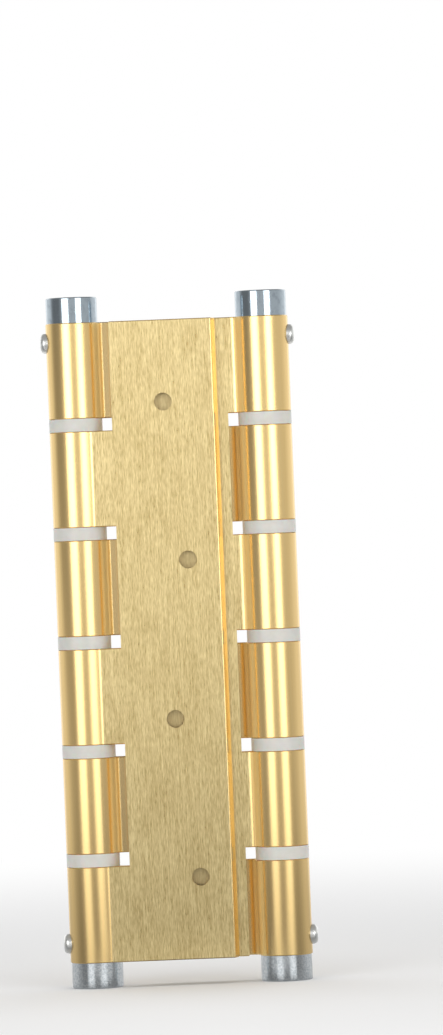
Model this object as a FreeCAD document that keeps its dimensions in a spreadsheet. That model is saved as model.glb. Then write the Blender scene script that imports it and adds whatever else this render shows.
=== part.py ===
import FreeCAD, Part

import math
import os

import Sketcher
from FreeCAD import Placement, Rotation, Vector

# Double action spring hinge, closed. Two barrels stand upright along Z and three aluminium
# leaves are hinged on them: the door leaf in front (-Y), the centre leaf between the two
# barrels, and the frame leaf at the back (+Y). The origin is the middle of the whole hinge.
doc = FreeCAD.newDocument("double_action_hinge")
sheet = doc.addObject("Spreadsheet::Sheet", "sizes")

SIZES = {
    "leaf_height": 180,
    "axis_spacing": 53.3,
    "barrel_diameter": 15,
    "barrel_wall": 1.7,
    "washer_thickness": 3.6,
    "centre_leaf_thickness": 4.0,
    "outer_leaf_thickness": 3.2,
    "leaf_gap": 1.0,
    "outer_leaf_reach": 40.4,
    "free_edge_slope": 1.3,
    "free_edge_round": 0.6,
    "root_fillet": 2.2,
    "sawn_edge_chamfer": 0.25,
    "notch_clearance": 2.8,
    "screw_hole_diameter": 5.0,
    "countersink_diameter": 9.5,
    "screw_pitch": 44.6,
    "screw_edge_inset": 10.3,
    "screw_row_spacing": 5.3,
    "running_clearance": 0.05,
    "sleeve_length": 5.0,
    "sleeve_wall": 0.7,
    "plug_head_inset": 0.3,
    "plug_head_height": 7.2,
    "plug_head_chamfer": 0.3,
    "plug_shank_length": 14,
    "hex_socket_flats": 5,
    "hex_socket_depth": 9,
    "lock_screw_inset": 5.4,
    "lock_groove_depth": 1.2,
    "lock_shank_diameter": 3.0,
    "lock_head_diameter": 5.6,
    "lock_head_height": 2.2,
    "lock_head_round": 1.3,
    "lock_recess_length": 3.2,
    "lock_recess_width": 0.8,
    "lock_recess_depth": 1.2,
    "lock_fit_clearance": 0.1,
    "spring_clearance": 0.2,
    "spring_wire": 2.3,
    "spring_pitch": 4.2,
    "spring_tang_length": 4.0,
}
for row, (alias, size) in enumerate(SIZES.items(), start=1):
    sheet.set(f"A{row}", alias)
    sheet.set(f"B{row}", str(size))
    sheet.setAlias(f"B{row}", alias)
doc.recompute()

# Each barrel is six knuckles with a washer between each two, taken by the leaves in turn.
KNUCKLES = 6
KNUCKLE = f"((sizes.leaf_height - {KNUCKLES - 1} * sizes.washer_thickness) / {KNUCKLES})"
STEP = f"({KNUCKLE} + sizes.washer_thickness)"
NOTCH_HEIGHT = f"({KNUCKLE} + 2 * sizes.washer_thickness)"
NOTCH_REACH = "(sizes.barrel_diameter / 2 + sizes.notch_clearance)"
HALF_HEIGHT = "(sizes.leaf_height / 2)"
HALF_SPACING = "(sizes.axis_spacing / 2)"
BARREL_RADIUS = "(sizes.barrel_diameter / 2)"
BORE_RADIUS = "(sizes.barrel_diameter / 2 - sizes.barrel_wall)"
RUNNING_RADIUS = f"({BORE_RADIUS} - sizes.running_clearance)"

# Faces of the leaves, measured from the plane through both barrel axes.
CENTRE_FACE = "(sizes.centre_leaf_thickness / 2)"
INNER_FACE = f"({CENTRE_FACE} + sizes.leaf_gap)"
OUTER_FACE = f"({INNER_FACE} + sizes.outer_leaf_thickness)"

# The lock screw's head sits on a flat that is faced just deep enough to be full under it.
SPOTFACE_RADIUS = "(sizes.lock_head_diameter / 2 + sizes.lock_fit_clearance)"
LOCK_SEAT = f"sqrt({BARREL_RADIUS} ^ 2 - {SPOTFACE_RADIUS} ^ 2)"
GROOVE_FLOOR = f"({RUNNING_RADIUS} - sizes.lock_groove_depth)"
HALF_GROOVE = "(sizes.lock_shank_diameter / 2 + sizes.lock_fit_clearance)"

SPANS_PER_TURN = 10


def value(expression):
    """Work out an expression of the sheet's sizes as a plain number."""
    return float(sheet.evalExpression(expression))


def plane(body, role):
    """Give one of a body's own origin planes."""
    return next(item for item in body.Origin.OriginFeatures if item.Role == role)


def new_body(name):
    """Start a piece whose label is the name of its file."""
    body = doc.addObject("PartDesign::Body", name)
    body.Label = name
    return body


def new_sketch(body, title, role, lift=None):
    """Lay a sketch on an origin plane of its body, lifted along the plane's normal."""
    sketch = body.newObject("Sketcher::SketchObject", f"{body.Name}_{title}_sketch")
    sketch.AttachmentSupport = [(plane(body, role), "")]
    sketch.MapMode = "FlatFace"
    if lift is not None:
        sketch.setExpression("AttachmentOffset.Base.z", lift)
    return sketch


def hold_point(sketch, geometry, vertex, across, up):
    """Hold a point of a sketch at two expressions measured from the sketch's origin."""
    for kind, axis, expression in (("DistanceX", -2, across), ("DistanceY", -1, up)):
        distance = value(expression)
        if expression == "0":
            sketch.addConstraint(Sketcher.Constraint("PointOnObject", geometry, vertex, axis))
            continue
        ends = (-1, 1, geometry, vertex)
        if distance < 0:
            ends = (geometry, vertex, -1, 1)
            expression = f"-({expression})"
        number = sketch.addConstraint(Sketcher.Constraint(kind, *ends, abs(distance)))
        sketch.setExpression(f"Constraints[{number}]", expression)


def outline(sketch, corners):
    """Draw a closed outline of straight sides, each corner held at two expressions."""
    first = sketch.GeometryCount
    points = [Vector(value(across), value(up), 0) for across, up in corners]
    for start, end in zip(points, points[1:] + points[:1]):
        sketch.addGeometry(Part.LineSegment(start, end), False)
    for number, (across, up) in enumerate(corners):
        before = first + (number - 1) % len(corners)
        sketch.addConstraint(Sketcher.Constraint("Coincident", before, 2, first + number, 1))
        hold_point(sketch, first + number, 1, across, up)


def rectangle(sketch, left, right, bottom, top):
    """Draw an upright rectangle between four expressions."""
    outline(sketch, [(left, bottom), (right, bottom), (right, top), (left, top)])


def circle(sketch, across, up, diameter):
    """Draw a circle whose centre and diameter are expressions."""
    centre = Vector(value(across), value(up), 0)
    number = sketch.addGeometry(Part.Circle(centre, Vector(0, 0, 1), value(diameter) / 2), False)
    hold_point(sketch, number, 3, across, up)
    size = sketch.addConstraint(Sketcher.Constraint("Diameter", number, value(diameter)))
    sketch.setExpression(f"Constraints[{size}]", diameter)


def pad(body, title, sketch, length):
    """Push a sketch out along its normal."""
    feature = body.newObject("PartDesign::Pad", f"{body.Name}_{title}")
    feature.Profile = sketch
    feature.setExpression("Length", length)
    doc.recompute()
    return feature


def revolve(body, title, sketch):
    """Turn a sketch once round its upright axis."""
    feature = body.newObject("PartDesign::Revolution", f"{body.Name}_{title}")
    feature.Profile = sketch
    feature.ReferenceAxis = (sketch, ["V_Axis"])
    feature.Angle = 360
    doc.recompute()
    return feature


def pocket(body, title, sketch, length=None, reverse=False, both_ways=False):
    """Cut a sketch out of a body, right through where no length is given."""
    before = body.Shape.Volume
    feature = body.newObject("PartDesign::Pocket", f"{body.Name}_{title}")
    feature.Profile = sketch
    feature.Reversed = reverse
    if both_ways:
        feature.SideType = "Symmetric"
    if length is None:
        feature.Type = "ThroughAll"
    else:
        feature.setExpression("Length", length)
    doc.recompute()
    if body.Shape.Volume >= before:
        raise ValueError(f"{feature.Name} cuts nothing")
    return feature


def repeat_up(body, title, feature, sketch, spacing, count):
    """Repeat a cut up the height of a leaf."""
    pattern = body.newObject("PartDesign::LinearPattern", f"{body.Name}_{title}")
    pattern.Originals = [feature]
    pattern.Direction = (sketch, ["V_Axis"])
    pattern.Mode = "Spacing"
    pattern.setExpression("Offset", spacing)
    pattern.Occurrences = count
    body.Tip = pattern
    doc.recompute()
    return pattern


def round_upright_edges(body, title, places, radius):
    """Round the full-height edges that stand at the given places in the plan."""
    base = body.Tip
    names = []
    for across, depth in places:
        place = Vector(value(across), value(depth), 0)
        for number, edge in enumerate(base.Shape.Edges, start=1):
            ends = [Vector(vertex.X, vertex.Y, 0) for vertex in edge.Vertexes]
            if len(ends) == 2 and all(end.distanceToPoint(place) < 1e-4 for end in ends):
                names.append(f"Edge{number}")
    feature = body.newObject("PartDesign::Fillet", f"{body.Name}_{title}")
    feature.Base = (base, names)
    feature.setExpression("Radius", radius)
    doc.recompute()
    return feature


def break_sawn_edges(body, notch_wall):
    """Take the sharpness off every edge that the saw left, before the bores are drilled.

    Those are the level edges. An edge in the inner corner of a notch, where the level cut
    meets the notch's wall, has metal round it and is left as it is.
    """
    base = body.Tip
    wall = value(notch_wall)
    height = value("sizes.leaf_height")
    names = []
    for number, edge in enumerate(base.Shape.Edges, start=1):
        middle = edge.CenterOfMass
        level = edge.BoundBox.ZLength < 1e-6
        between_ends = 1e-4 < middle.z < height - 1e-4
        in_corner = between_ends and abs(abs(middle.x) - wall) < 1e-4
        if level and not in_corner:
            names.append(f"Edge{number}")
    feature = body.newObject("PartDesign::Chamfer", f"{body.Name}_sawn_edges")
    feature.Base = (base, names)
    feature.setExpression("Size", "sizes.sawn_edge_chamfer")
    doc.recompute()
    return feature


def drill_screw_holes(body):
    """Drill four screw holes in an outer leaf, countersunk from its inner face.

    The holes stand in two staggered rows, a near and a far one in turn from the top. Both rows
    keep their distance from the free edge.
    """
    sketch = new_sketch(body, "screw_hole", "XZ_Plane", INNER_FACE)
    far_row = "(sizes.outer_leaf_reach - sizes.screw_edge_inset)"
    rows = (f"({far_row} - sizes.screw_row_spacing)", far_row)
    for number in range(4):
        height = f"{HALF_HEIGHT} + {1.5 - number} * sizes.screw_pitch"
        circle(sketch, rows[number % 2], height, "sizes.screw_hole_diameter")
    before = body.Shape.Volume
    doc.recompute()
    hole = body.newObject("PartDesign::Hole", f"{body.Name}_screw_holes")
    hole.Profile = sketch
    hole.Reversed = True
    hole.DepthType = "ThroughAll"
    hole.setExpression("Diameter", "sizes.screw_hole_diameter")
    hole.HoleCutType = "Countersink"
    hole.HoleCutCustomValues = True
    hole.setExpression("HoleCutDiameter", "sizes.countersink_diameter")
    hole.HoleCutCountersinkAngle = 90
    doc.recompute()
    if body.Shape.Volume >= before:
        raise ValueError(f"{hole.Name} cuts nothing")


def tap_for_lock_screw(body, title, barrel, height, outward):
    """Drill the barrel's wall for a lock screw and face a flat seat for its head."""
    sides = {"screw": (barrel, "sizes.lock_shank_diameter + 2 * sizes.running_clearance")}
    sides["seat"] = (f"{barrel} + {outward} * {LOCK_SEAT}", f"2 * {SPOTFACE_RADIUS}")
    for cut, (lift, diameter) in sides.items():
        sketch = new_sketch(body, f"{title}_{cut}", "YZ_Plane", lift)
        circle(sketch, "0", height, diameter)
        reach = f"{BARREL_RADIUS} + sizes.lock_head_height"
        pocket(body, f"{title}_{cut}", sketch, reach, reverse=outward > 0)


def outer_leaf(name):
    """Make a leaf that is screwed to the door or the frame.

    It is one extrusion: a barrel about the upright axis and a plate that leaves its front,
    filleted into it on both faces and with a free edge that slopes out from the front face.
    Knuckles two, four and six from the top stay, and the notches take the rest.
    """
    body = new_body(name)
    plate = new_sketch(body, "plate", "XY_Plane")
    free_edge = [
        ("(sizes.outer_leaf_reach - sizes.free_edge_slope)", f"-{OUTER_FACE}"),
        ("sizes.outer_leaf_reach", f"-{INNER_FACE}"),
    ]
    outline(plate, [("0", f"-{OUTER_FACE}"), *free_edge, ("0", f"-{INNER_FACE}")])
    pad(body, "plate", plate, "sizes.leaf_height")
    barrel = new_sketch(body, "barrel", "XY_Plane")
    circle(barrel, "0", "0", "sizes.barrel_diameter")
    pad(body, "barrel", barrel, "sizes.leaf_height")
    roots = [(f"sqrt({BARREL_RADIUS} ^ 2 - {face} ^ 2)", f"-{face}") for face in (INNER_FACE, OUTER_FACE)]
    round_upright_edges(body, "root_fillets", roots, "sizes.root_fillet")
    round_upright_edges(body, "free_edge_rounds", free_edge, "sizes.free_edge_round")
    notch = new_sketch(body, "notch", "XZ_Plane")
    rectangle(notch, f"-{NOTCH_REACH}", NOTCH_REACH, KNUCKLE, f"{KNUCKLE} + {NOTCH_HEIGHT}")
    cut = pocket(body, "notch", notch, both_ways=True)
    repeat_up(body, "notches", cut, notch, f"2 * {STEP}", KNUCKLES // 2)
    break_sawn_edges(body, NOTCH_REACH)
    bore = new_sketch(body, "bore", "XY_Plane")
    circle(bore, "0", "0", f"2 * {BORE_RADIUS}")
    pocket(body, "bore", bore, reverse=True)
    drill_screw_holes(body)
    tap_for_lock_screw(body, "lock", "0", "sizes.lock_screw_inset", -1)
    body.setExpression("Placement.Base.z", f"-{HALF_HEIGHT}")
    return body


def centre_leaf():
    """Make the leaf that joins the two barrels and keeps knuckles one, three and five."""
    body = new_body("centre_leaf")
    plate = new_sketch(body, "plate", "XY_Plane")
    rectangle(plate, f"-{HALF_SPACING}", HALF_SPACING, f"-{CENTRE_FACE}", CENTRE_FACE)
    pad(body, "plate", plate, "sizes.leaf_height")
    barrels = new_sketch(body, "barrels", "XY_Plane")
    circle(barrels, f"-{HALF_SPACING}", "0", "sizes.barrel_diameter")
    circle(barrels, HALF_SPACING, "0", "sizes.barrel_diameter")
    pad(body, "barrels", barrels, "sizes.leaf_height")
    root = f"({HALF_SPACING} - sqrt({BARREL_RADIUS} ^ 2 - {CENTRE_FACE} ^ 2))"
    roots = [(f"{side}{root}", f"{face}{CENTRE_FACE}") for side in ("-", "") for face in ("-", "")]
    round_upright_edges(body, "root_fillets", roots, "sizes.root_fillet")
    notch = new_sketch(body, "notch", "XZ_Plane")
    outside = f"({HALF_SPACING} + {BARREL_RADIUS} + sizes.notch_clearance)"
    inside = f"({HALF_SPACING} - {NOTCH_REACH})"
    bottom = "-sizes.washer_thickness"
    top = f"({KNUCKLE} + sizes.washer_thickness)"
    rectangle(notch, f"-{outside}", f"-{inside}", bottom, top)
    rectangle(notch, inside, outside, bottom, top)
    cut = pocket(body, "notch", notch, both_ways=True)
    repeat_up(body, "notches", cut, notch, f"2 * {STEP}", KNUCKLES // 2)
    break_sawn_edges(body, inside)
    bores = new_sketch(body, "bores", "XY_Plane")
    circle(bores, f"-{HALF_SPACING}", "0", f"2 * {BORE_RADIUS}")
    circle(bores, HALF_SPACING, "0", f"2 * {BORE_RADIUS}")
    pocket(body, "bores", bores, reverse=True)
    height = "sizes.leaf_height - sizes.lock_screw_inset"
    tap_for_lock_screw(body, "door_side_lock", f"-{HALF_SPACING}", height, -1)
    tap_for_lock_screw(body, "frame_side_lock", HALF_SPACING, height, 1)
    body.setExpression("Placement.Base.z", f"-{HALF_HEIGHT}")
    return body


def bush(name, barrel, number):
    """Make a nylon bush: the washer between two knuckles with a sleeve into each bore."""
    body = new_body(name)
    half = new_sketch(body, "half_section", "XZ_Plane")
    bore = f"({RUNNING_RADIUS} - sizes.sleeve_wall)"
    corners = [
        (bore, "-sizes.sleeve_length"),
        (RUNNING_RADIUS, "-sizes.sleeve_length"),
        (RUNNING_RADIUS, "0"),
        (BARREL_RADIUS, "0"),
        (BARREL_RADIUS, "sizes.washer_thickness"),
        (RUNNING_RADIUS, "sizes.washer_thickness"),
        (RUNNING_RADIUS, "sizes.washer_thickness + sizes.sleeve_length"),
        (bore, "sizes.washer_thickness + sizes.sleeve_length"),
    ]
    outline(half, corners)
    revolve(body, "turned", half)
    body.setExpression("Placement.Base.x", barrel)
    body.setExpression("Placement.Base.z", f"{HALF_HEIGHT} - {number} * {STEP}")
    return body


def tension_plug(name, barrel, upside_down):
    """Make a turned steel plug: head outside the barrel, shank in its bore.

    A hexagonal socket takes the key that winds the spring, a groove takes the lock screw's
    tip, and a slot across the inner end holds the spring's tang.
    """
    body = new_body(name)
    half = new_sketch(body, "half_section", "XZ_Plane")
    groove_top = f"(-sizes.lock_screw_inset + {HALF_GROOVE})"
    groove_bottom = f"(-sizes.lock_screw_inset - {HALF_GROOVE})"
    head_radius = f"({BARREL_RADIUS} - sizes.plug_head_inset)"
    corners = [
        ("0", "-sizes.plug_shank_length"),
        (RUNNING_RADIUS, "-sizes.plug_shank_length"),
        (RUNNING_RADIUS, groove_bottom),
        (GROOVE_FLOOR, groove_bottom),
        (GROOVE_FLOOR, groove_top),
        (RUNNING_RADIUS, groove_top),
        (RUNNING_RADIUS, "0"),
        (head_radius, "0"),
        (head_radius, "sizes.plug_head_height - sizes.plug_head_chamfer"),
        (f"{head_radius} - sizes.plug_head_chamfer", "sizes.plug_head_height"),
        ("0", "sizes.plug_head_height"),
    ]
    outline(half, corners)
    revolve(body, "turned", half)
    socket = new_sketch(body, "socket", "XY_Plane", "sizes.plug_head_height")
    flat = "sizes.hex_socket_flats / 2"
    corner = "sizes.hex_socket_flats / sqrt(3)"
    shoulder = "sizes.hex_socket_flats / sqrt(12)"
    upper = [(corner, "0"), (shoulder, flat), (f"-{shoulder}", flat)]
    lower = [(f"-{corner}", "0"), (f"-{shoulder}", f"-{flat}"), (shoulder, f"-{flat}")]
    outline(socket, upper + lower)
    pocket(body, "socket", socket, "sizes.hex_socket_depth")
    slot = new_sketch(body, "tang_slot", "XY_Plane", "-sizes.plug_shank_length")
    coil_radius = f"({RUNNING_RADIUS} - sizes.sleeve_wall - sizes.spring_clearance)"
    inner = f"{coil_radius} - sizes.spring_wire - sizes.spring_clearance"
    half_width = "(sizes.spring_wire / 2 + sizes.lock_fit_clearance)"
    rectangle(slot, inner, BARREL_RADIUS, f"-{half_width}", half_width)
    depth = "sizes.spring_tang_length + sizes.spring_clearance"
    pocket(body, "tang_slot", slot, depth, reverse=True)
    if upside_down:
        body.Placement = Placement(Vector(), Rotation(Vector(1, 0, 0), 180))
    body.setExpression("Placement.Base.x", barrel)
    body.setExpression("Placement.Base.z", f"-{HALF_HEIGHT}" if upside_down else HALF_HEIGHT)
    return body


def lock_screw(name, barrel, height, outward):
    """Make a small pan head screw with a crossed recess, standing out of a barrel's side."""
    body = new_body(name)
    half = new_sketch(body, "half_section", "XZ_Plane")
    shank = f"({LOCK_SEAT} - {GROOVE_FLOOR} - sizes.lock_fit_clearance)"
    corners = [
        ("0", f"-{shank}"),
        ("sizes.lock_shank_diameter / 2", f"-{shank}"),
        ("sizes.lock_shank_diameter / 2", "0"),
        ("sizes.lock_head_diameter / 2", "0"),
        ("sizes.lock_head_diameter / 2", "sizes.lock_head_height"),
        ("0", "sizes.lock_head_height"),
    ]
    outline(half, corners)
    turned = revolve(body, "turned", half)
    top = value("sizes.lock_head_height")
    rim = max(
        (edge for edge in turned.Shape.Edges if abs(edge.BoundBox.ZMin - top) < 1e-4),
        key=lambda edge: edge.BoundBox.XLength,
    )
    number = next(n for n, e in enumerate(turned.Shape.Edges, start=1) if e.isSame(rim))
    dome = body.newObject("PartDesign::Fillet", f"{name}_dome")
    dome.Base = (turned, [f"Edge{number}"])
    dome.setExpression("Radius", "sizes.lock_head_round")
    doc.recompute()
    for title, length, width in (("bar", "length", "width"), ("cross", "width", "length")):
        wing = new_sketch(body, title, "XY_Plane", "sizes.lock_head_height")
        across = f"sizes.lock_recess_{length} / 2"
        up = f"sizes.lock_recess_{width} / 2"
        rectangle(wing, f"-{across}", across, f"-{up}", up)
        pocket(body, title, wing, "sizes.lock_recess_depth")
    body.Placement = Placement(Vector(), Rotation(Vector(0, 1, 0), 90 * outward))
    body.setExpression("Placement.Base.x", f"{barrel} + {outward} * {LOCK_SEAT}")
    body.setExpression("Placement.Base.z", height)
    return body


def coil_ring(middle, radial, across):
    """Give the four corners of the square wire round one point of its path."""
    signs = ((-1, -1), (1, -1), (1, 1), (-1, 1))
    return [middle + radial * side + across * rise for side, rise in signs]


def torsion_spring(name, barrel):
    """Make the coil that lies between the two plugs of a barrel.

    The square wire follows a helix in straight spans, and at each end it is bent to run
    along the barrel into the slot of the plug there.
    """
    half_wire = value("sizes.spring_wire") / 2
    outer = value(f"{RUNNING_RADIUS} - sizes.sleeve_wall - sizes.spring_clearance")
    radius = outer - half_wire
    plug_face = value(f"{HALF_HEIGHT} - sizes.plug_shank_length")
    start = half_wire + value("sizes.spring_clearance") - plug_face
    tang_end = plug_face + value("sizes.spring_tang_length")
    turns = round(-2 * start / value("sizes.spring_pitch"))
    spans = turns * SPANS_PER_TURN
    up = Vector(0, 0, half_wire)
    rings = []
    for span in range(1, spans):
        angle = 2 * math.pi * span / SPANS_PER_TURN
        radial = Vector(math.cos(angle), math.sin(angle), 0)
        middle = radial * radius + Vector(0, 0, start - 2 * start * span / spans)
        rings.append(coil_ring(middle, radial * half_wire, up))
    radial = Vector(half_wire, 0, 0)
    along = Vector(0, half_wire, 0)
    bends = [coil_ring(Vector(radius, 0, height), radial, up - along) for height in (start, -start)]
    tips = [coil_ring(Vector(radius, 0, end), radial, -along) for end in (-tang_end, tang_end)]
    rings = [tips[0], bends[0]] + rings + [bends[1], tips[1]]
    faces = [Part.Face(Part.makePolygon(ring + ring[:1])) for ring in (rings[0], rings[-1])]
    for low, high in zip(rings, rings[1:]):
        for side in range(4):
            after = (side + 1) % 4
            corners = [low[side], low[after], high[after], high[side]]
            faces += facets(corners)
    spring = doc.addObject("Part::Feature", name)
    spring.Label = name
    spring.Shape = Part.makeSolid(Part.makeShell(faces))
    spring.Placement.Base = Vector(value(barrel), 0, 0)
    return spring


def facets(corners):
    """Close four corners with one flat face, or with two where they are out of one plane."""
    first, second, third, fourth = corners
    normal = (second - first).cross(third - first).normalize()
    if abs((fourth - first).dot(normal)) < 1e-7:
        return [Part.Face(Part.makePolygon(corners + [first]))]
    halves = ([first, second, third, first], [first, third, fourth, first])
    return [Part.Face(Part.makePolygon(half)) for half in halves]


# The door leaf hangs on the left barrel, and the frame leaf, the same extrusion turned half
# round, on the right one.
door_leaf = outer_leaf("door_leaf")
door_leaf.setExpression("Placement.Base.x", f"-{HALF_SPACING}")
frame_leaf = outer_leaf("frame_leaf")
frame_leaf.Placement = Placement(frame_leaf.Placement.Base, Rotation(Vector(0, 0, 1), 180))
frame_leaf.setExpression("Placement.Base.x", HALF_SPACING)
sub_parts = [door_leaf, centre_leaf(), frame_leaf]

TOP_LOCK = f"{HALF_HEIGHT} - sizes.lock_screw_inset"
BOTTOM_LOCK = f"sizes.lock_screw_inset - {HALF_HEIGHT}"
for barrel_name, barrel_axis, outward_side in (
    ("door_barrel", f"-{HALF_SPACING}", -1),
    ("frame_barrel", HALF_SPACING, 1),
):
    for bush_number in range(1, KNUCKLES):
        sub_parts.append(bush(f"{barrel_name}_bush_{bush_number}", barrel_axis, bush_number))
    sub_parts.append(torsion_spring(f"{barrel_name}_spring", barrel_axis))
    for end_name, inverted, lock_height in (("top", False, TOP_LOCK), ("bottom", True, BOTTOM_LOCK)):
        prefix = f"{barrel_name}_{end_name}"
        sub_parts.append(tension_plug(f"{prefix}_plug", barrel_axis, inverted))
        screw = lock_screw(f"{prefix}_lock_screw", barrel_axis, lock_height, outward_side)
        sub_parts.append(screw)

doc.recompute()
for item in doc.Objects:
    if "Invalid" in item.State or "Error" in item.State:
        raise ValueError(f"{item.Name} failed: {item.State}")
for sub_part in sub_parts:
    if sub_part.Shape.isNull() or not sub_part.Shape.isValid():
        raise ValueError(f"{sub_part.Label} has no valid shape")

os.makedirs("parts", exist_ok=True)
for sub_part in sub_parts:
    sub_part.Shape.exportStep(f"parts/{sub_part.Label}.step")
    print(sub_part.Label, round(sub_part.Shape.Volume, 1), len(sub_part.Shape.Faces))
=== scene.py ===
# %% [markdown]
# A double action hinge carries a swing door that opens both ways. Three aluminium leaves turn on
# two upright barrels, a coil spring in each barrel shuts the door again, and white nylon washers
# keep the knuckles apart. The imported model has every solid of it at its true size, so what is
# left for Blender is how the metal, the plating and the nylon look. The model is loaded first,
# because every later cell takes its places from it.

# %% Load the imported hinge
import math

import bpy
import numpy as np
from mathutils import Matrix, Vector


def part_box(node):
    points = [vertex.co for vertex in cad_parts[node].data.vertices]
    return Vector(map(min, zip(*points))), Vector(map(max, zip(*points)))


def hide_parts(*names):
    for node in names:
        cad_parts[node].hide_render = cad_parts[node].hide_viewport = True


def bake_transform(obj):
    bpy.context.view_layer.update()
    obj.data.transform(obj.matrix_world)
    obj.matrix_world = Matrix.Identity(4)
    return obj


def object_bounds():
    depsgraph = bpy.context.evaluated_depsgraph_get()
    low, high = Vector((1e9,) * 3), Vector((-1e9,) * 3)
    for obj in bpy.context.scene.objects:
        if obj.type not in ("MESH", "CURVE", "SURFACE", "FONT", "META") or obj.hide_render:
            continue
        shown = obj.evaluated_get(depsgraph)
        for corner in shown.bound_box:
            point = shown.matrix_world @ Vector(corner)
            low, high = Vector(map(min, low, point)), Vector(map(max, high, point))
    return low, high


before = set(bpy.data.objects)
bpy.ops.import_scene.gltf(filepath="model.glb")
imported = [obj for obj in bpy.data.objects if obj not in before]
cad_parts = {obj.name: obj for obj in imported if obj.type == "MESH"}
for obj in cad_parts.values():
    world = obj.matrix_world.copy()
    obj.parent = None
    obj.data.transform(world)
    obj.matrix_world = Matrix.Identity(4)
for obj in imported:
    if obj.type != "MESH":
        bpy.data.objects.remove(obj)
cad_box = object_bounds()
MM = 0.001
print(len(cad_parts), "nodes, from", tuple(cad_box[0]), "to", tuple(cad_box[1]))

# %% [markdown]
# Each leaf is one piece of metal with two finishes: its knuckles are drawn bright and its plate
# is brushed. A material can tell them apart by the distance from the barrel's axis, so the two
# axes and the barrels' radius are needed. They could be typed in again, but a bush is as wide as
# its barrel and centred on it, and reading its box keeps the finish right if a size changes. The
# door leaf's box also says how far the outer leaves cover the middle one.

# %% Find the two barrels
def ends_of(node):
    """Give the lowest and the highest corner of a node's box as two arrays."""
    return tuple(np.array(corner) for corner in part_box(node))


low, high = ends_of("door_barrel_bush_1")
BARREL_RADIUS = float(high[0] - low[0]) / 2
DOOR_AXIS = float(high[0] + low[0]) / 2
low, high = ends_of("frame_barrel_bush_1")
FRAME_AXIS = float(high[0] + low[0]) / 2
LEAF_REACH = float(ends_of("door_leaf")[1][0])
print("barrel radius", BARREL_RADIUS, "axes at x", DOOR_AXIS, "and", FRAME_AXIS)

# %% [markdown]
# A finish is a small graph of nodes. Written one node at a time it hides its own sums, so here a
# class wraps a socket and overloads Python's operators: an expression on wrapped sockets adds the
# Math nodes that work it out. Colours don't go through them, because a Math node turns a colour
# grey, and are mixed by a method of their own. One more method makes any other node.

# %% Write shader sums as Python
class Shade:
    """One socket of a node tree, which takes part in sums as a number does."""

    def __init__(self, tree, socket):
        self.tree = tree
        self.socket = socket

    def node(self, kind, sockets, output=0, **settings):
        """Add a node: make its settings, then fill the sockets that are given by name or place."""
        node = self.tree.nodes.new(kind)
        for name, setting in settings.items():
            setattr(node, name, setting)
        for name, value in sockets.items():
            if isinstance(value, Shade):
                self.tree.links.new(value.socket, node.inputs[name])
            else:
                node.inputs[name].default_value = value
        return Shade(self.tree, node.outputs[output]) if node.outputs else None

    def math(self, operation, *values):
        """Add the Math node of an operation that isn't written with an operator here."""
        return self.node("ShaderNodeMath", dict(enumerate(values)), operation=operation)

    def ramp(self, low, high):
        """Rise smoothly from 0 to 1 while this value goes from low to high."""
        sockets = {"Value": self, "From Min": low, "From Max": high}
        return self.node("ShaderNodeMapRange", sockets, interpolation_type="SMOOTHSTEP")

    def blend(self, colour, other):
        """Mix two colours: the first where this value is 0, and the second where it is 1."""
        sockets = {0: self, 6: colour, 7: other}
        return self.node("ShaderNodeMix", sockets, output=2, data_type="RGBA")

    def __add__(self, other):
        return self.math("ADD", self, other)

    def __sub__(self, other):
        return self.math("SUBTRACT", self, other)

    def __rsub__(self, other):
        return self.math("SUBTRACT", other, self)

    def __mul__(self, other):
        return self.math("MULTIPLY", self, other)

    def __truediv__(self, other):
        return self.math("DIVIDE", self, other)

    def __rtruediv__(self, other):
        return self.math("DIVIDE", other, self)

    def __neg__(self):
        return 0 - self

    def __abs__(self):
        return self.math("ABSOLUTE", self)

    __radd__ = __add__
    __rmul__ = __mul__


# %% [markdown]
# Every finish starts alike: an empty tree and the place of each point on the object, in metres
# from the middle of the hinge. Noise that is stretched along one axis of that place is the base
# of all the textures below, since drawing, brushing and turning each leave marks that are long
# one way and short the other. The helpers here make the start, the noise and the last two nodes.

# %% Start and end a finish
# How strong each finer layer of the noise is, as a share of the layer before it.
FINER_MARKS = 0.55


def start_tree(owner, coordinates):
    """Empty the tree of a material or a world, and give one of its kinds of coordinates."""
    owner.use_nodes = True
    tree = owner.node_tree
    tree.nodes.clear()
    return Shade(tree, tree.nodes.new("ShaderNodeTexCoord").outputs[coordinates])


def start_finish(name):
    """Make an empty material, and give it with the place of a point on the object."""
    material = bpy.data.materials.new(name)
    return material, start_tree(material, "Object")


def axes_of(vector, axes="XYZ"):
    """Split a place or a direction into its parts along these axes."""
    return [vector.node("ShaderNodeSeparateXYZ", {"Vector": vector}, output=axis) for axis in axes]


def marks(place, length, detail=2.0):
    """Give noise from 0 to 1 whose marks have these lengths along X, Y and Z, in millimetres."""
    scale = [1 / (side * MM) for side in length]
    stretched = place.node("ShaderNodeMapping", {"Vector": place, "Scale": scale})
    sockets = {"Vector": stretched, "Scale": 1.0, "Detail": detail, "Roughness": FINER_MARKS}
    return place.node("ShaderNodeTexNoise", sockets)


def relief(height, depth):
    """Turn a height from 0 to 1 into a bumpy surface whose marks are depth millimetres deep."""
    sockets = {"Height": height, "Distance": depth * MM, "Strength": 1.0}
    return height.node("ShaderNodeBump", sockets)


def end_finish(material, place, **sockets):
    """Fill the sockets of the glossy shader, named with underscores, and join it to the output."""
    named = {name.replace("_", " "): value for name, value in sockets.items()}
    shader = place.node("ShaderNodeBsdfPrincipled", named)
    place.node("ShaderNodeOutputMaterial", {"Surface": shader})
    print(material.name, "has", len(place.tree.nodes), "shader nodes")


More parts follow.
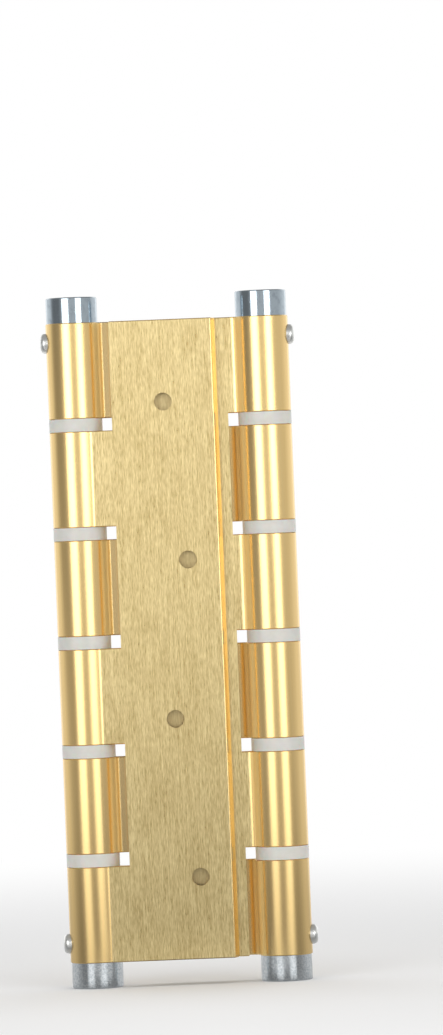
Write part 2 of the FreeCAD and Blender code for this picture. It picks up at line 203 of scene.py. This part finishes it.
def wear(material, *kinds):
    """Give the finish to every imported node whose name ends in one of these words."""
    worn = [node for name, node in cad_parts.items() if name.endswith(kinds)]
    for node in worn:
        for slot in node.material_slots:
            slot.material = material
    print(material.name, "is worn by", len(worn), "nodes")


# %% [markdown]
# The leaves are gold anodised aluminium, extruded, brushed and then sawn to length. The belt that
# brushes them only reaches the flat faces, so the knuckles and the hollows at their roots stay
# as they were drawn, and the ends have the saw's marks across them. Three materials could share
# the faces out, but the imported mesh is one piece, so one material has to know where a point is
# and which way it looks. Masks tell it, each 1 in one place and 0 everywhere else, and the first
# ones tell where. The belt can't get between a knuckle and the leaf in front of it, so the strip
# of the middle leaf that shows in each recess isn't brushed. Where the outer leaves cover the
# middle one, a painted shade darkens it: that part shows through their screw holes.

# %% Tell where a point of a leaf is
# A mask rises from 0 to 1 between two distances in millimetres. The first three are from the
# nearest barrel's face, and the last is from the middle of the hinge's thickness.
OFF_BARREL = (0.02, 0.2)
PAST_RECESS = (3.0, 3.4)
PAST_HOLLOW = (4.2, 5.2)
IN_OUTER_LEAF = (2.6, 3.6)


def distance_from(place_x, place_y, axis):
    """Give the distance from an upright axis: the root of the squared sides, added."""
    across = place_x - axis
    return place_x.math("SQRT", across * across + place_y * place_y)


def past_face(start, end):
    """Rise from 0 to 1 between two distances from the nearest barrel's face."""
    return nearest.ramp(BARREL_RADIUS + start * MM, BARREL_RADIUS + end * MM)


gold, place = start_finish("gold_anodised_leaf")
place_x, place_y = axes_of(place, "XY")
to_axes = [distance_from(place_x, place_y, axis) for axis in (DOOR_AXIS, FRAME_AXIS)]
nearest = place.math("MINIMUM", *to_axes)
off_barrel = past_face(*OFF_BARREL)
outer_leaf = abs(place_y).ramp(*(depth * MM for depth in IN_OUTER_LEAF))
# The middle leaf's face is bare on one side: where X is above 0 in front, and below 0 behind.
in_the_open = place.math("LESS_THAN", place_x * place_y, 0.0)
under_leaf = place.math("LESS_THAN", place_x * place.math("SIGN", -place_y), LEAF_REACH)
# A painted shade: the middle leaf darkens where an outer leaf covers it.
painted_shade_under_leaf = (1 - outer_leaf) * off_barrel * under_leaf
beyond_recess = place.math("MAXIMUM", past_face(*PAST_RECESS), in_the_open)
reached = place.math("MAXIMUM", outer_leaf, beyond_recess)
print("the masks of place take", len(place.tree.nodes), "shader nodes")

# %% [markdown]
# Which way the surface looks tells the rest. It looks straight out on a flat face, along Z on a
# sawn end, and any other way where it is drawn. The knuckles are polished too, but the mop for
# that doesn't reach down beside a plate. So what looks sideways in the hollow there, and the
# flank of the barrel that looks towards the hinge's middle, are a dull satin, whose paler gold
# is painted light that lifts the shade of those hollows.

# %% Tell flat faces, sawn ends and unpolished curves apart
# Each pair says how squarely the surface has to look that way, as a cosine, for 0 and for 1.
STRAIGHT_OUT = (0.97, 0.995)
ALONG_BARREL = (0.8, 0.95)
SIDEWAYS = (0.35, 0.7)
INWARDS = (0.70, 0.82)
facing_x, facing_y, facing_z = axes_of(place.node("ShaderNodeTexCoord", {}, output="Normal"))
on_plate = reached * off_barrel * abs(facing_y).ramp(*STRAIGHT_OUT)
on_end = abs(facing_z).ramp(*ALONG_BARREL)
beside_barrel = off_barrel - past_face(*PAST_HOLLOW)
in_hollow = beside_barrel * (1 - on_plate) * (1 - on_end) * abs(facing_x).ramp(*SIDEWAYS)
inwards = facing_x * place.math("SIGN", -place_x)
inner_flank = (1 - off_barrel) * inwards.ramp(*INWARDS)
# Satin, and painted light: a paler gold that lifts the shade in the hollows.
satin_and_painted_light = in_hollow + inner_flank
print("with the masks of direction,", len(place.tree.nodes), "shader nodes")

# %% [markdown]
# Brushing leaves marks a quarter of a millimetre wide and two millimetres long, with some longer
# ones among them. They tilt the surface sideways, so they spread every reflection sideways, and
# some of them catch a lamp and flash. Longer and wider patches lie over them, where the belt
# pressed more or less. The colour follows the same marks: partly the grain of the brushed metal,
# and partly a painted glint in the pale marks.

# %% The marks of the belt, the die and the saw
# The strengths of drawing and sawing are shares of the strength of brushing.
SHORT_SHARE = 0.62
DRAWN_STRENGTH = 0.2
SAWN_STRENGTH = 0.8
NOISE_MIDDLE = 0.5
short_marks = marks(place, (0.24, 0.24, 2.0), detail=3.0)
long_marks = marks(place, (0.42, 0.42, 11.0), detail=3.0)
brushed = short_marks * SHORT_SHARE + long_marks * (1 - SHORT_SHARE)
drawn = marks(place, (0.5, 0.5, 90.0), detail=1.0)
sawn = marks(place, (9.0, 0.16, 9.0), detail=2.0)
patches = marks(place, (4.0, 4.0, 12.0), detail=3.0)
streak = on_plate * (brushed - NOISE_MIDDLE)
streak = streak + (1 - on_plate) * (drawn - NOISE_MIDDLE) * DRAWN_STRENGTH
streak = streak + on_end * (sawn - NOISE_MIDDLE) * SAWN_STRENGTH
print("with the marks,", len(place.tree.nodes), "shader nodes")

# %% [markdown]
# Anodised gold isn't one colour. Each kind of face has a pale and a deep tone of its own, which
# the marks mix: brushed faces range widely, and drawn ones hardly at all. On a brushed face the
# pale marks are partly grain and partly a painted glint, and the flash needs a strong contrast,
# since most of the noise lies near its middle. Satin scatters the light, so it is hazier than
# metal, and its paler gold is painted light in the hollows.

# %% Gold anodised aluminium
# The pale brushed tone is partly the metal's grain and partly a painted glint.
PALE_BRUSHED_AND_GLINT, DEEP_BRUSHED = (0.99, 0.81, 0.42, 1.0), (0.60, 0.445, 0.185, 1.0)
PALE_DRAWN, DEEP_DRAWN = (0.96, 0.71, 0.34, 1.0), (0.89, 0.62, 0.25, 1.0)
# The painted shade of the middle leaf under the outer leaves, and how strongly it is painted.
PAINTED_SHADE_GOLD = (0.52, 0.41, 0.22, 1.0)
PAINTED_SHADE_SHARE = 0.5
# A paler satin gold for the hollows: painted light that lifts their shade, with a diffuse haze.
SATIN_GOLD_PAINTED_LIGHT = (1.0, 0.77, 0.34, 1.0)
SATIN_HAZE = 0.6
GRAIN_AND_GLINT_CONTRAST = 3.3
PATCH_CONTRAST = 0.5
DRAWN_ROUGHNESS = 0.22
pale_gold = on_plate.blend(PALE_DRAWN, PALE_BRUSHED_AND_GLINT)
deep_gold = on_plate.blend(DEEP_DRAWN, DEEP_BRUSHED)
# The marks' tone, strongly contrasted: partly grain, and partly painted glints on brushed faces.
tone = NOISE_MIDDLE + streak * GRAIN_AND_GLINT_CONTRAST
tone = tone + (patches - NOISE_MIDDLE) * PATCH_CONTRAST * on_plate
worked_gold = tone.blend(deep_gold, pale_gold)
# Paint the shade of the outer leaves onto the middle leaf where they cover it.
gold_with_painted_shade = (painted_shade_under_leaf * PAINTED_SHADE_SHARE).blend(worked_gold, PAINTED_SHADE_GOLD)
# A drawn face is the smoothest, and each mask adds a roughness of its own.
roughness = (
    DRAWN_ROUGHNESS
    + on_plate * 0.07
    + in_hollow * 0.34
    + inner_flank * 0.10
    + on_end * 0.13
    + streak * 0.12
)
end_finish(
    gold,
    place,
    Base_Color=satin_and_painted_light.blend(gold_with_painted_shade, SATIN_GOLD_PAINTED_LIGHT),
    Metallic=1 - satin_and_painted_light * SATIN_HAZE,
    Roughness=roughness,
    Anisotropic=0.5,
    Normal=relief(streak, 0.020),
)
wear(gold, "_leaf")

# %% [markdown]
# The washers between the knuckles are turned nylon: white, a little cloudy and not quite opaque,
# so that light bleeds in at their edges. A white with some subsurface scattering does that, and a
# fine relief of rings breaks the highlight as the marks of the tool do on the real ones.

# %% White nylon
CLOUDY_NYLON, CLEAR_NYLON = (0.62, 0.605, 0.555, 1.0), (0.74, 0.725, 0.68, 1.0)
LIGHT_SINKS_IN = 1.5 * MM
BUSHES_IN_BARREL = 5
nylon, place = start_finish("turned_white_nylon")
cloud = marks(place, (3.0, 3.0, 3.0))
rings = marks(place, (60.0, 60.0, 0.25), detail=1.0)
end_finish(
    nylon,
    place,
    Base_Color=cloud.blend(CLOUDY_NYLON, CLEAR_NYLON),
    Roughness=0.36 + cloud * 0.12,
    Subsurface_Weight=0.35,
    Subsurface_Scale=LIGHT_SINKS_IN,
    Normal=relief(rings, 0.008),
)
wear(nylon, *(f"bush_{number + 1}" for number in range(BUSHES_IN_BARREL)))

# %% [markdown]
# The tension plugs are turned steel with a bright plating that leans to blue. Such a plating
# mirrors the studio in hard-edged bands, and cloudy patches in it blur them here and there. The
# lathe leaves rings, so this noise is stretched round the axis and thin along Z, and the patches
# come from a second noise with no direction. The lower plugs have a paler plating that is grainy
# instead of patchy, and a mask of height keeps the two kinds apart.

# %% Bright plating on the plugs
# The levels of the noise between which a patch or a grain sets in.
PATCH_EDGE = (0.42, 0.72)
GRAIN_EDGE = (0.36, 0.62)
CLEAR_PLATING, PATCHY_PLATING = (0.46, 0.53, 0.58, 1.0), (0.38, 0.44, 0.49, 1.0)
DARK_GRAIN, PALE_GRAIN = (0.68, 0.73, 0.76, 1.0), (0.84, 0.88, 0.90, 1.0)
PATCH_RELIEF, GRAIN_RELIEF = 0.3, 0.24
plating, place = start_finish("bright_plating")
height = axes_of(place, "Z")[0]
lower_plug = place.math("LESS_THAN", height, 0.0)
rings = marks(place, (40.0, 40.0, 0.18), detail=2.0)
patches = marks(place, (1.3, 1.3, 1.8), detail=4.0).ramp(*PATCH_EDGE)
grain = marks(place, (0.55, 0.55, 0.55), detail=3.0)
upper_plating = patches.blend(CLEAR_PLATING, PATCHY_PLATING)
lower_plating = grain.ramp(*GRAIN_EDGE).blend(DARK_GRAIN, PALE_GRAIN)
upper_patches = patches * (1 - lower_plug)
uneven = rings + upper_patches * PATCH_RELIEF + grain * lower_plug * GRAIN_RELIEF
end_finish(
    plating,
    place,
    Base_Color=lower_plug.blend(upper_plating, lower_plating),
    Metallic=1.0,
    Roughness=0.07 + upper_patches * 0.16 + lower_plug * 0.09,
    Normal=relief(uneven, 0.003),
)
wear(plating, "_plug")

# %% [markdown]
# Four small pan head screws lock the plugs. They are zinc plated in a drum with many others, so
# their plating is duller, faintly yellow and blue by turns, and knocked all over.

# %% Zinc plate on the lock screws
BLUE_ZINC, YELLOW_ZINC = (0.84, 0.87, 0.88, 1.0), (0.93, 0.91, 0.84, 1.0)
zinc, place = start_finish("zinc_plate")
knocks = marks(place, (0.5, 0.5, 0.5), detail=3.0)
hue = marks(place, (1.6, 1.6, 1.6))
end_finish(
    zinc,
    place,
    Base_Color=hue.blend(BLUE_ZINC, YELLOW_ZINC),
    Metallic=1.0,
    Roughness=0.24 + knocks * 0.16,
    Normal=relief(knocks, 0.012),
)
wear(zinc, "_lock_screw")

# %% [markdown]
# In each barrel a coil of round spring wire lies between the two plugs, and each of its ends is
# bent to run along the barrel into a plug's slot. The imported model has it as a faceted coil, so
# here it is drawn again as a smooth one. A curve object with a bevel could do it, but a path that
# is worked out has the bends at exactly the right place: the wire is followed from one end to the
# other, and what changes on the way is only which share of each step goes round the barrel.

# %% The path of the spring wire
WIRE = 2.3 * MM
SPRING_TURNS = 36
STRAIGHT_TANG = 4.3 * MM
BEND = 2.6 * MM


def running_total(steps):
    """Add up steps one after the other, from 0."""
    return np.concatenate(([0.0], np.cumsum(steps)))


def wire_path(bottom, top, radius, axis, points=1300):
    """Follow the middle of the wire from its lower end to its upper one.

    The share that goes round rises smoothly from 0 in a tang to 1 in the coil over the bend,
    and falls again at the other end. Each step turns the wire round the axis by that share
    over the coil's radius, and lifts it by the rest, and by the coil's slope in the coil.
    """
    round_length = 2 * math.pi * radius * SPRING_TURNS
    whole = 2 * STRAIGHT_TANG + BEND + round_length
    along = np.linspace(0.0, whole, points)
    from_end = np.minimum(along, whole - along)
    rise = np.clip((from_end - STRAIGHT_TANG) / BEND, 0.0, 1.0)
    share = rise * rise * (3 - 2 * rise)
    step = whole / (points - 1)
    middle_share = (share[1:] + share[:-1]) / 2
    turned = running_total(middle_share * step)
    turned *= round_length / turned[-1]
    lifted = running_total((1 - middle_share) * step)
    slope = (top - bottom - lifted[-1]) / round_length
    angle = turned / radius
    height = bottom + lifted + slope * turned
    return np.stack((axis + radius * np.cos(angle), radius * np.sin(angle), height), axis=1)


low, high = ends_of("door_barrel_spring")
coil_radius = float(high[0] - low[0]) / 2 - WIRE / 2
path = wire_path(low[2], high[2], coil_radius, DOOR_AXIS)
wire_length = np.linalg.norm(np.diff(path, axis=0), axis=1).sum()
print("coil radius", coil_radius, "wire length", wire_length)

# %% [markdown]
# The wire's skin is a circle carried along that path. At each point of the path the circle needs
# two directions that are square to the path and don't spin on the way. Straight away from the
# barrel's axis is one that is always square to a coil, and the cross product gives the other. The
# skin becomes a mesh with a flat face on each end, so that it is closed as real wire is.

# %% Carry a circle along the path
def wire_skin(path, axis, radius, sides=12):
    """Carry a circle along a path round an upright axis.

    A point of the skin is the path's point plus the radius times the cosine of the angle
    outwards from the axis and its sine along the second direction.
    """
    ahead = np.gradient(path, axis=0)
    ahead /= np.linalg.norm(ahead, axis=1, keepdims=True)
    outwards = path - np.array((axis, 0.0, 0.0))
    outwards[:, 2] = 0.0
    outwards -= ahead * (outwards * ahead).sum(axis=1, keepdims=True)
    outwards /= np.linalg.norm(outwards, axis=1, keepdims=True)
    second = np.cross(ahead, outwards)
    angle = np.linspace(0.0, 2 * math.pi, sides, endpoint=False)[None, :, None]
    circle = np.cos(angle) * outwards[:, None] + np.sin(angle) * second[:, None]
    return path[:, None] + radius * circle


def add_object(name, data):
    """Put a mesh, a lamp or a camera into the scene as an object."""
    added = bpy.data.objects.new(name, data)
    bpy.context.scene.collection.objects.link(added)
    return added


def closed_tube(name, skin):
    """Make the mesh of a tube from its rings of points, with a flat end on each side."""
    rings, sides = skin.shape[:2]
    corner = np.arange(rings * sides).reshape(rings, sides)
    after = np.roll(corner, -1, axis=1)
    quads = np.stack((corner[:-1], after[:-1], after[1:], corner[1:]), axis=-1).reshape(-1, 4)
    ends = [corner[0][::-1].tolist(), corner[-1].tolist()]
    mesh = bpy.data.meshes.new(name)
    mesh.from_pydata(skin.reshape(-1, 3), [], quads.tolist() + ends)
    smooth = np.ones(len(mesh.polygons), dtype=bool)
    smooth[-len(ends):] = False
    mesh.polygons.foreach_set("use_smooth", smooth)
    return add_object(name, mesh)


# %% [markdown]
# Spring wire comes from the furnace with a dark skin of scale, and is oiled. When the hinge opens,
# the upper plug stays with the middle leaf and the lower one goes with the outer leaf, and the
# coil twists between them. Here each coil is drawn at rest, and the faceted one of the imported
# model is hidden.

# %% Two springs of oiled steel
DARK_SCALE, PALE_SCALE = (0.10, 0.10, 0.11, 1.0), (0.26, 0.25, 0.24, 1.0)
steel, place = start_finish("oiled_spring_steel")
scale_marks = marks(place, (1.5, 1.5, 1.5), detail=4.0)
end_finish(
    steel,
    place,
    Base_Color=scale_marks.blend(DARK_SCALE, PALE_SCALE),
    Metallic=1.0,
    Roughness=0.25 + scale_marks * 0.2,
    Normal=relief(scale_marks, 0.01),
)
for side, axis in (("door", DOOR_AXIS), ("frame", FRAME_AXIS)):
    packed = f"{side}_barrel_spring"
    low, high = ends_of(packed)
    path = wire_path(low[2], high[2], coil_radius, axis)
    coil = closed_tube(f"{side}_barrel_round_wire_spring", wire_skin(path, axis, WIRE / 2))
    coil.data.materials.append(steel)
    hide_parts(packed)
    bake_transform(coil)
    print(coil.name, len(coil.data.polygons), "faces")

# %% [markdown]
# The hinge stands on a plain pale floor, which has to keep its shadow and yet run into a white
# background with no edge. The lower ends of bright pieces mirror it too, and there a floor that
# is evenly pale would drown their bands. So reflections see a floor of their own, which glows
# with painted light: a painted shade, darker in front and near the hinge, and painted reflections
# of the lamps and of the boards of the cells below, as pale strips where they would mirror in it.
# Far out the strips spread from the hinge's middle. Near the hinge each barrel has its own in
# front, which spread from its foot, because only those give its plug straight bands.
# Seen from the front, a barrel of radius R mirrors a point of the floor, at a distance d and a
# bearing b from its axis, where its surface looks towards b / (1 - R / 2 d).

# %% How bright the floor looks in a reflection
# Bearings are in degrees from the camera's side, and distances from the hinge in metres.
LAMP_STRIP = (14, 44)
BACK_BOARD = (141, 166)
BACK_OF_FLOOR = (85, 220)
BACK_SOFTNESS = 27
AT_THE_FOOT = (0.014, 0.034)
STRIPS_MEET = (0.05, 0.16)
FLOOR_RISES = (0.3, 1.1)
# How bright the floor looks in reflections at the hinge, a painted shade, and what painted light
# the distance, the back and each strip add.
AT_HINGE, FROM_AFAR, BEHIND_HINGE = 0.18, 0.27, 0.35
LAMP_STRIP_ADDS, BOARD_STRIP_ADDS = 0.60, 0.40


def between(angle, low, high, soft=4):
    """Give 1 between two angles in degrees, and fall smoothly to 0 outside them."""
    rise = angle.ramp(math.radians(low - soft), math.radians(low + soft))
    return rise - angle.ramp(math.radians(high - soft), math.radians(high + soft))


def bearing_of(x, y):
    """Give the angle round the upright axis: 0 towards the camera's side, and pi behind."""
    return abs(x.math("ARCTAN2", x, -y))


def painted_lamp_strip(bearing):
    """Give a lamp's painted reflection: a pale strip of the floor from the hinge towards it."""
    return between(bearing, *LAMP_STRIP) * LAMP_STRIP_ADDS


pale, place = start_finish("pale_floor")
place_x, place_y = axes_of(place, "XY")
out = distance_from(place_x, place_y, 0.0)
bearing = bearing_of(place_x, place_y)
far = out.ramp(*STRIPS_MEET)
mirror_level = AT_HINGE + out.ramp(*FLOOR_RISES) * FROM_AFAR
mirror_level = mirror_level + between(bearing, *BACK_OF_FLOOR, BACK_SOFTNESS) * BEHIND_HINGE
board_strip = between(bearing, *BACK_BOARD) * BOARD_STRIP_ADDS * far
strips = painted_lamp_strip(bearing) * far
for axis in (DOOR_AXIS, FRAME_AXIS):
    away = distance_from(place_x, place_y, axis)
    looks = bearing_of(place_x - axis, place_y) / (1 - BARREL_RADIUS / 2 / away)
    near = away.ramp(*AT_THE_FOOT) - away.ramp(*STRIPS_MEET)
    strips = place.math("MAXIMUM", strips, painted_lamp_strip(looks) * near)
mirror_level = mirror_level + strips + board_strip
print("the mirrored floor takes", len(place.tree.nodes), "shader nodes")

# %% [markdown]
# The camera sees a plain matt white floor near the hinge, lit by the lamps alone. Farther out the
# floor fades into a glow of strength 1, which is white and which only the camera sees. More light
# could whiten the floor as well, but it would bleach the hinge. Light Path tells the camera's rays
# and the reflections apart.

# %% Floor
FLOOR_HALF = 6.0
FLOOR_FADES = (0.12, 0.7)
WHITE = (1.0, 1.0, 1.0, 1.0)
DARK_SPECK, PALE_SPECK = (0.86, 0.86, 0.86, 1.0), (0.90, 0.90, 0.90, 1.0)
speckle = marks(place, (0.6, 0.6, 0.6))
matt = place.node("ShaderNodeBsdfDiffuse", {"Color": speckle.blend(DARK_SPECK, PALE_SPECK)})
glow = place.node("ShaderNodeEmission", {"Color": WHITE, "Strength": 1.0})
# The floor that reflections see glows with the painted shade and the painted lamp reflections.
painted_reflection = place.node("ShaderNodeEmission", {"Color": WHITE, "Strength": mirror_level})
by_camera = place.node("ShaderNodeLightPath", {}, output="Is Camera Ray")
mirrored = place.node("ShaderNodeLightPath", {}, output="Is Glossy Ray")
fade = out.ramp(*FLOOR_FADES) * by_camera
lit = place.node("ShaderNodeMixShader", {0: fade, 1: matt, 2: glow})
mixed = place.node("ShaderNodeMixShader", {0: mirrored, 1: lit, 2: painted_reflection})
place.node("ShaderNodeOutputMaterial", {"Surface": mixed})
floor_height = float(cad_box[0][2])
corners = np.array([(-1, -1), (1, -1), (1, 1), (-1, 1)]) * FLOOR_HALF
floor_mesh = bpy.data.meshes.new("floor")
floor_mesh.from_pydata([(x, y, floor_height) for x, y in corners.tolist()], [], [(0, 1, 2, 3)])
floor_mesh.materials.append(pale)
floor = add_object("floor", floor_mesh)
print("floor at", floor_height)

# %% [markdown]
# Polished metal shows the room more than itself, so the room is part of the finish. Here the
# world is white wherever the camera looks and behind the hinge. In front of it the room is grey,
# and darker out to the sides, most of all to the left, which draws the dark bands down the sides
# of the barrels. The ceiling is darker still. Two pale boards stand behind, with a darker gap
# between them, so that the backs of the barrels have bands too. It is a function of direction
# alone: how high, and the angle round the hinge, measured from the camera's side.

# %% The room round the hinge
# Bearings are in degrees, and the starts of the left and the ceiling are parts of a direction.
DARK_SIDE, SIDE_SOFTNESS = (47, 100), 13
PALE_BACK, PALE_BACK_SOFTNESS = (110, 220), 25
GAP_BEHIND = (166, 220)
LEFT_STARTS = (-0.1, 0.1)
CEILING_STARTS = (0.30, 0.75)
GREY_LEVEL, CEILING_LEVEL, WHITE_LEVEL = 0.70, 0.35, 1.0
# What the back and the boards add to the grey, and what the sides, more so the left, take away.
BACK_ADDS, BOARD_ADDS, SIDES_TAKE, LEFT_TAKES = 0.30, 0.3, 0.03, 0.43
world = bpy.data.worlds.new("studio")
bpy.context.scene.world = world
direction = start_tree(world, "Generated")
toward_x, toward_y, toward_z = axes_of(direction)
bearing = bearing_of(toward_x, toward_y)
to_left = (-toward_x).ramp(*LEFT_STARTS)
side_dip = between(bearing, *DARK_SIDE, SIDE_SOFTNESS) * (SIDES_TAKE + to_left * LEFT_TAKES)
room = GREY_LEVEL + between(bearing, *PALE_BACK, PALE_BACK_SOFTNESS) * BACK_ADDS - side_dip
room = room + between(bearing, *BACK_BOARD) * BOARD_ADDS
room = room - between(bearing, *GAP_BEHIND) * BOARD_ADDS
room = room + toward_z.ramp(*CEILING_STARTS) * (CEILING_LEVEL - room)
by_camera = direction.node("ShaderNodeLightPath", {}, output="Is Camera Ray")
level = room + by_camera * (WHITE_LEVEL - room)
sky = direction.node("ShaderNodeBackground", {"Color": WHITE, "Strength": level})
direction.node("ShaderNodeOutputWorld", {"Surface": sky})
print("world nodes:", len(world.node_tree.nodes))

# %% [markdown]
# Two soft lamps stand in front, one each side of the camera. Their long reflections are the pairs
# of bright bands on the knuckles and plugs, so each lamp's place and width were found from where
# those bands lie: a barrel turns a reflection twice as far as its own surface turns. The bands
# are whiter at the top of the hinge than lower down, so the upper part of each lamp is brighter.
# A third lamp overhead lights the floor, and no reflection shows it, because the bevels on top of
# the plugs mirror a dark ceiling. A lamp's power follows from how bright its face looks.

# %% Soft lamps
LAMP_DISTANCE = 0.8
# Each tall lamp's bearing in degrees, with a minus to the camera's left, and its width.
TALL_LAMPS = (("left_lamp", -29.0, 0.41), ("right_lamp", 31.0, 0.36))
# The heights of each part's lower and upper end, and how bright the part looks.
LAMP_PARTS = (
    ("low", -0.15, -0.05, 1.22),
    ("middle", -0.05, 0.03, 1.7),
    ("high", 0.03, 0.32, 2.75),
)
TOP_LAMP_HEIGHT, TOP_LAMP_SIDE, TOP_LAMP_LOOKS = 1.3, 1.2, 2.1


def stand(thing, right, up, back, place):
    """Turn a lamp or the camera, which look away from their back, and put it in its place."""
    turn = np.eye(4)
    turn[:3] = np.stack((right, up, back, place), axis=1)
    thing.matrix_world = Matrix(turn.tolist())


def soft_lamp(name, place, aim, width, height, radiance):
    """Stand a lamp that looks this bright: power is radiance times its area times pi."""
    light = bpy.data.lights.new(name, "AREA")
    light.shape = "RECTANGLE"
    light.size, light.size_y = width, height
    light.energy = radiance * width * height * math.pi
    lamp = add_object(name, light)
    back = np.array(place, float) - np.array(aim, float)
    back /= np.linalg.norm(back)
    looks_down = abs(back[2]) > 0.9
    upright = np.array((0.0, 1.0, 0.0) if looks_down else (0.0, 0.0, 1.0))
    right = np.cross(upright, back)
    right /= np.linalg.norm(right)
    stand(lamp, right, np.cross(back, right), back, place)
    lamp.visible_camera = False
    print(name, "at", np.round(place, 2).tolist())
    return lamp


for name, degrees, width in TALL_LAMPS:
    across = LAMP_DISTANCE * math.sin(math.radians(degrees))
    front = -LAMP_DISTANCE * math.cos(math.radians(degrees))
    for part, low, high, radiance in LAMP_PARTS:
        middle = (low + high) / 2
        aim = (0.0, 0.0, middle)
        soft_lamp(f"{part}_{name}", (across, front, middle), aim, width, high - low, radiance)
above = (0.0, 0.0, TOP_LAMP_HEIGHT)
centre = (0.0, 0.0, 0.0)
top_lamp = soft_lamp("top_lamp", above, centre, TOP_LAMP_SIDE, TOP_LAMP_SIDE, TOP_LAMP_LOOKS)
top_lamp.visible_glossy = False

# %% [markdown]
# The camera stands far in front, at the height of the hinge's upper half, and leans a little to
# one side, because the hinge leans in the picture. The distance sets the perspective, and the
# lens then follows from how much of the hinge's plane the frame takes in from top to bottom.

# %% Camera
CAMERA_DISTANCE = 1.8
FRAME_HEIGHT = 291.7 * MM
LEAN = math.radians(2.3)
# How far to the right of the frame's middle, and how far above it, the hinge's middle lies.
HINGE_IN_FRAME = (-11.95 * MM, -34.2 * MM)
camera_data = bpy.data.cameras.new("camera")
camera_data.lens = camera_data.sensor_width * CAMERA_DISTANCE / FRAME_HEIGHT
camera_data.clip_start = 0.05
camera_data.clip_end = 50.0
camera = add_object("camera", camera_data)
right = np.array((math.cos(LEAN), 0.0, -math.sin(LEAN)))
up = np.array((math.sin(LEAN), 0.0, math.cos(LEAN)))
back = np.array((0.0, -1.0, 0.0))
camera_place = back * CAMERA_DISTANCE - right * HINGE_IN_FRAME[0] - up * HINGE_IN_FRAME[1]
stand(camera, right, up, back, camera_place)
bpy.context.scene.camera = camera
bpy.context.scene.view_settings.view_transform = "Standard"
print("lens", round(camera_data.lens, 1), "mm")
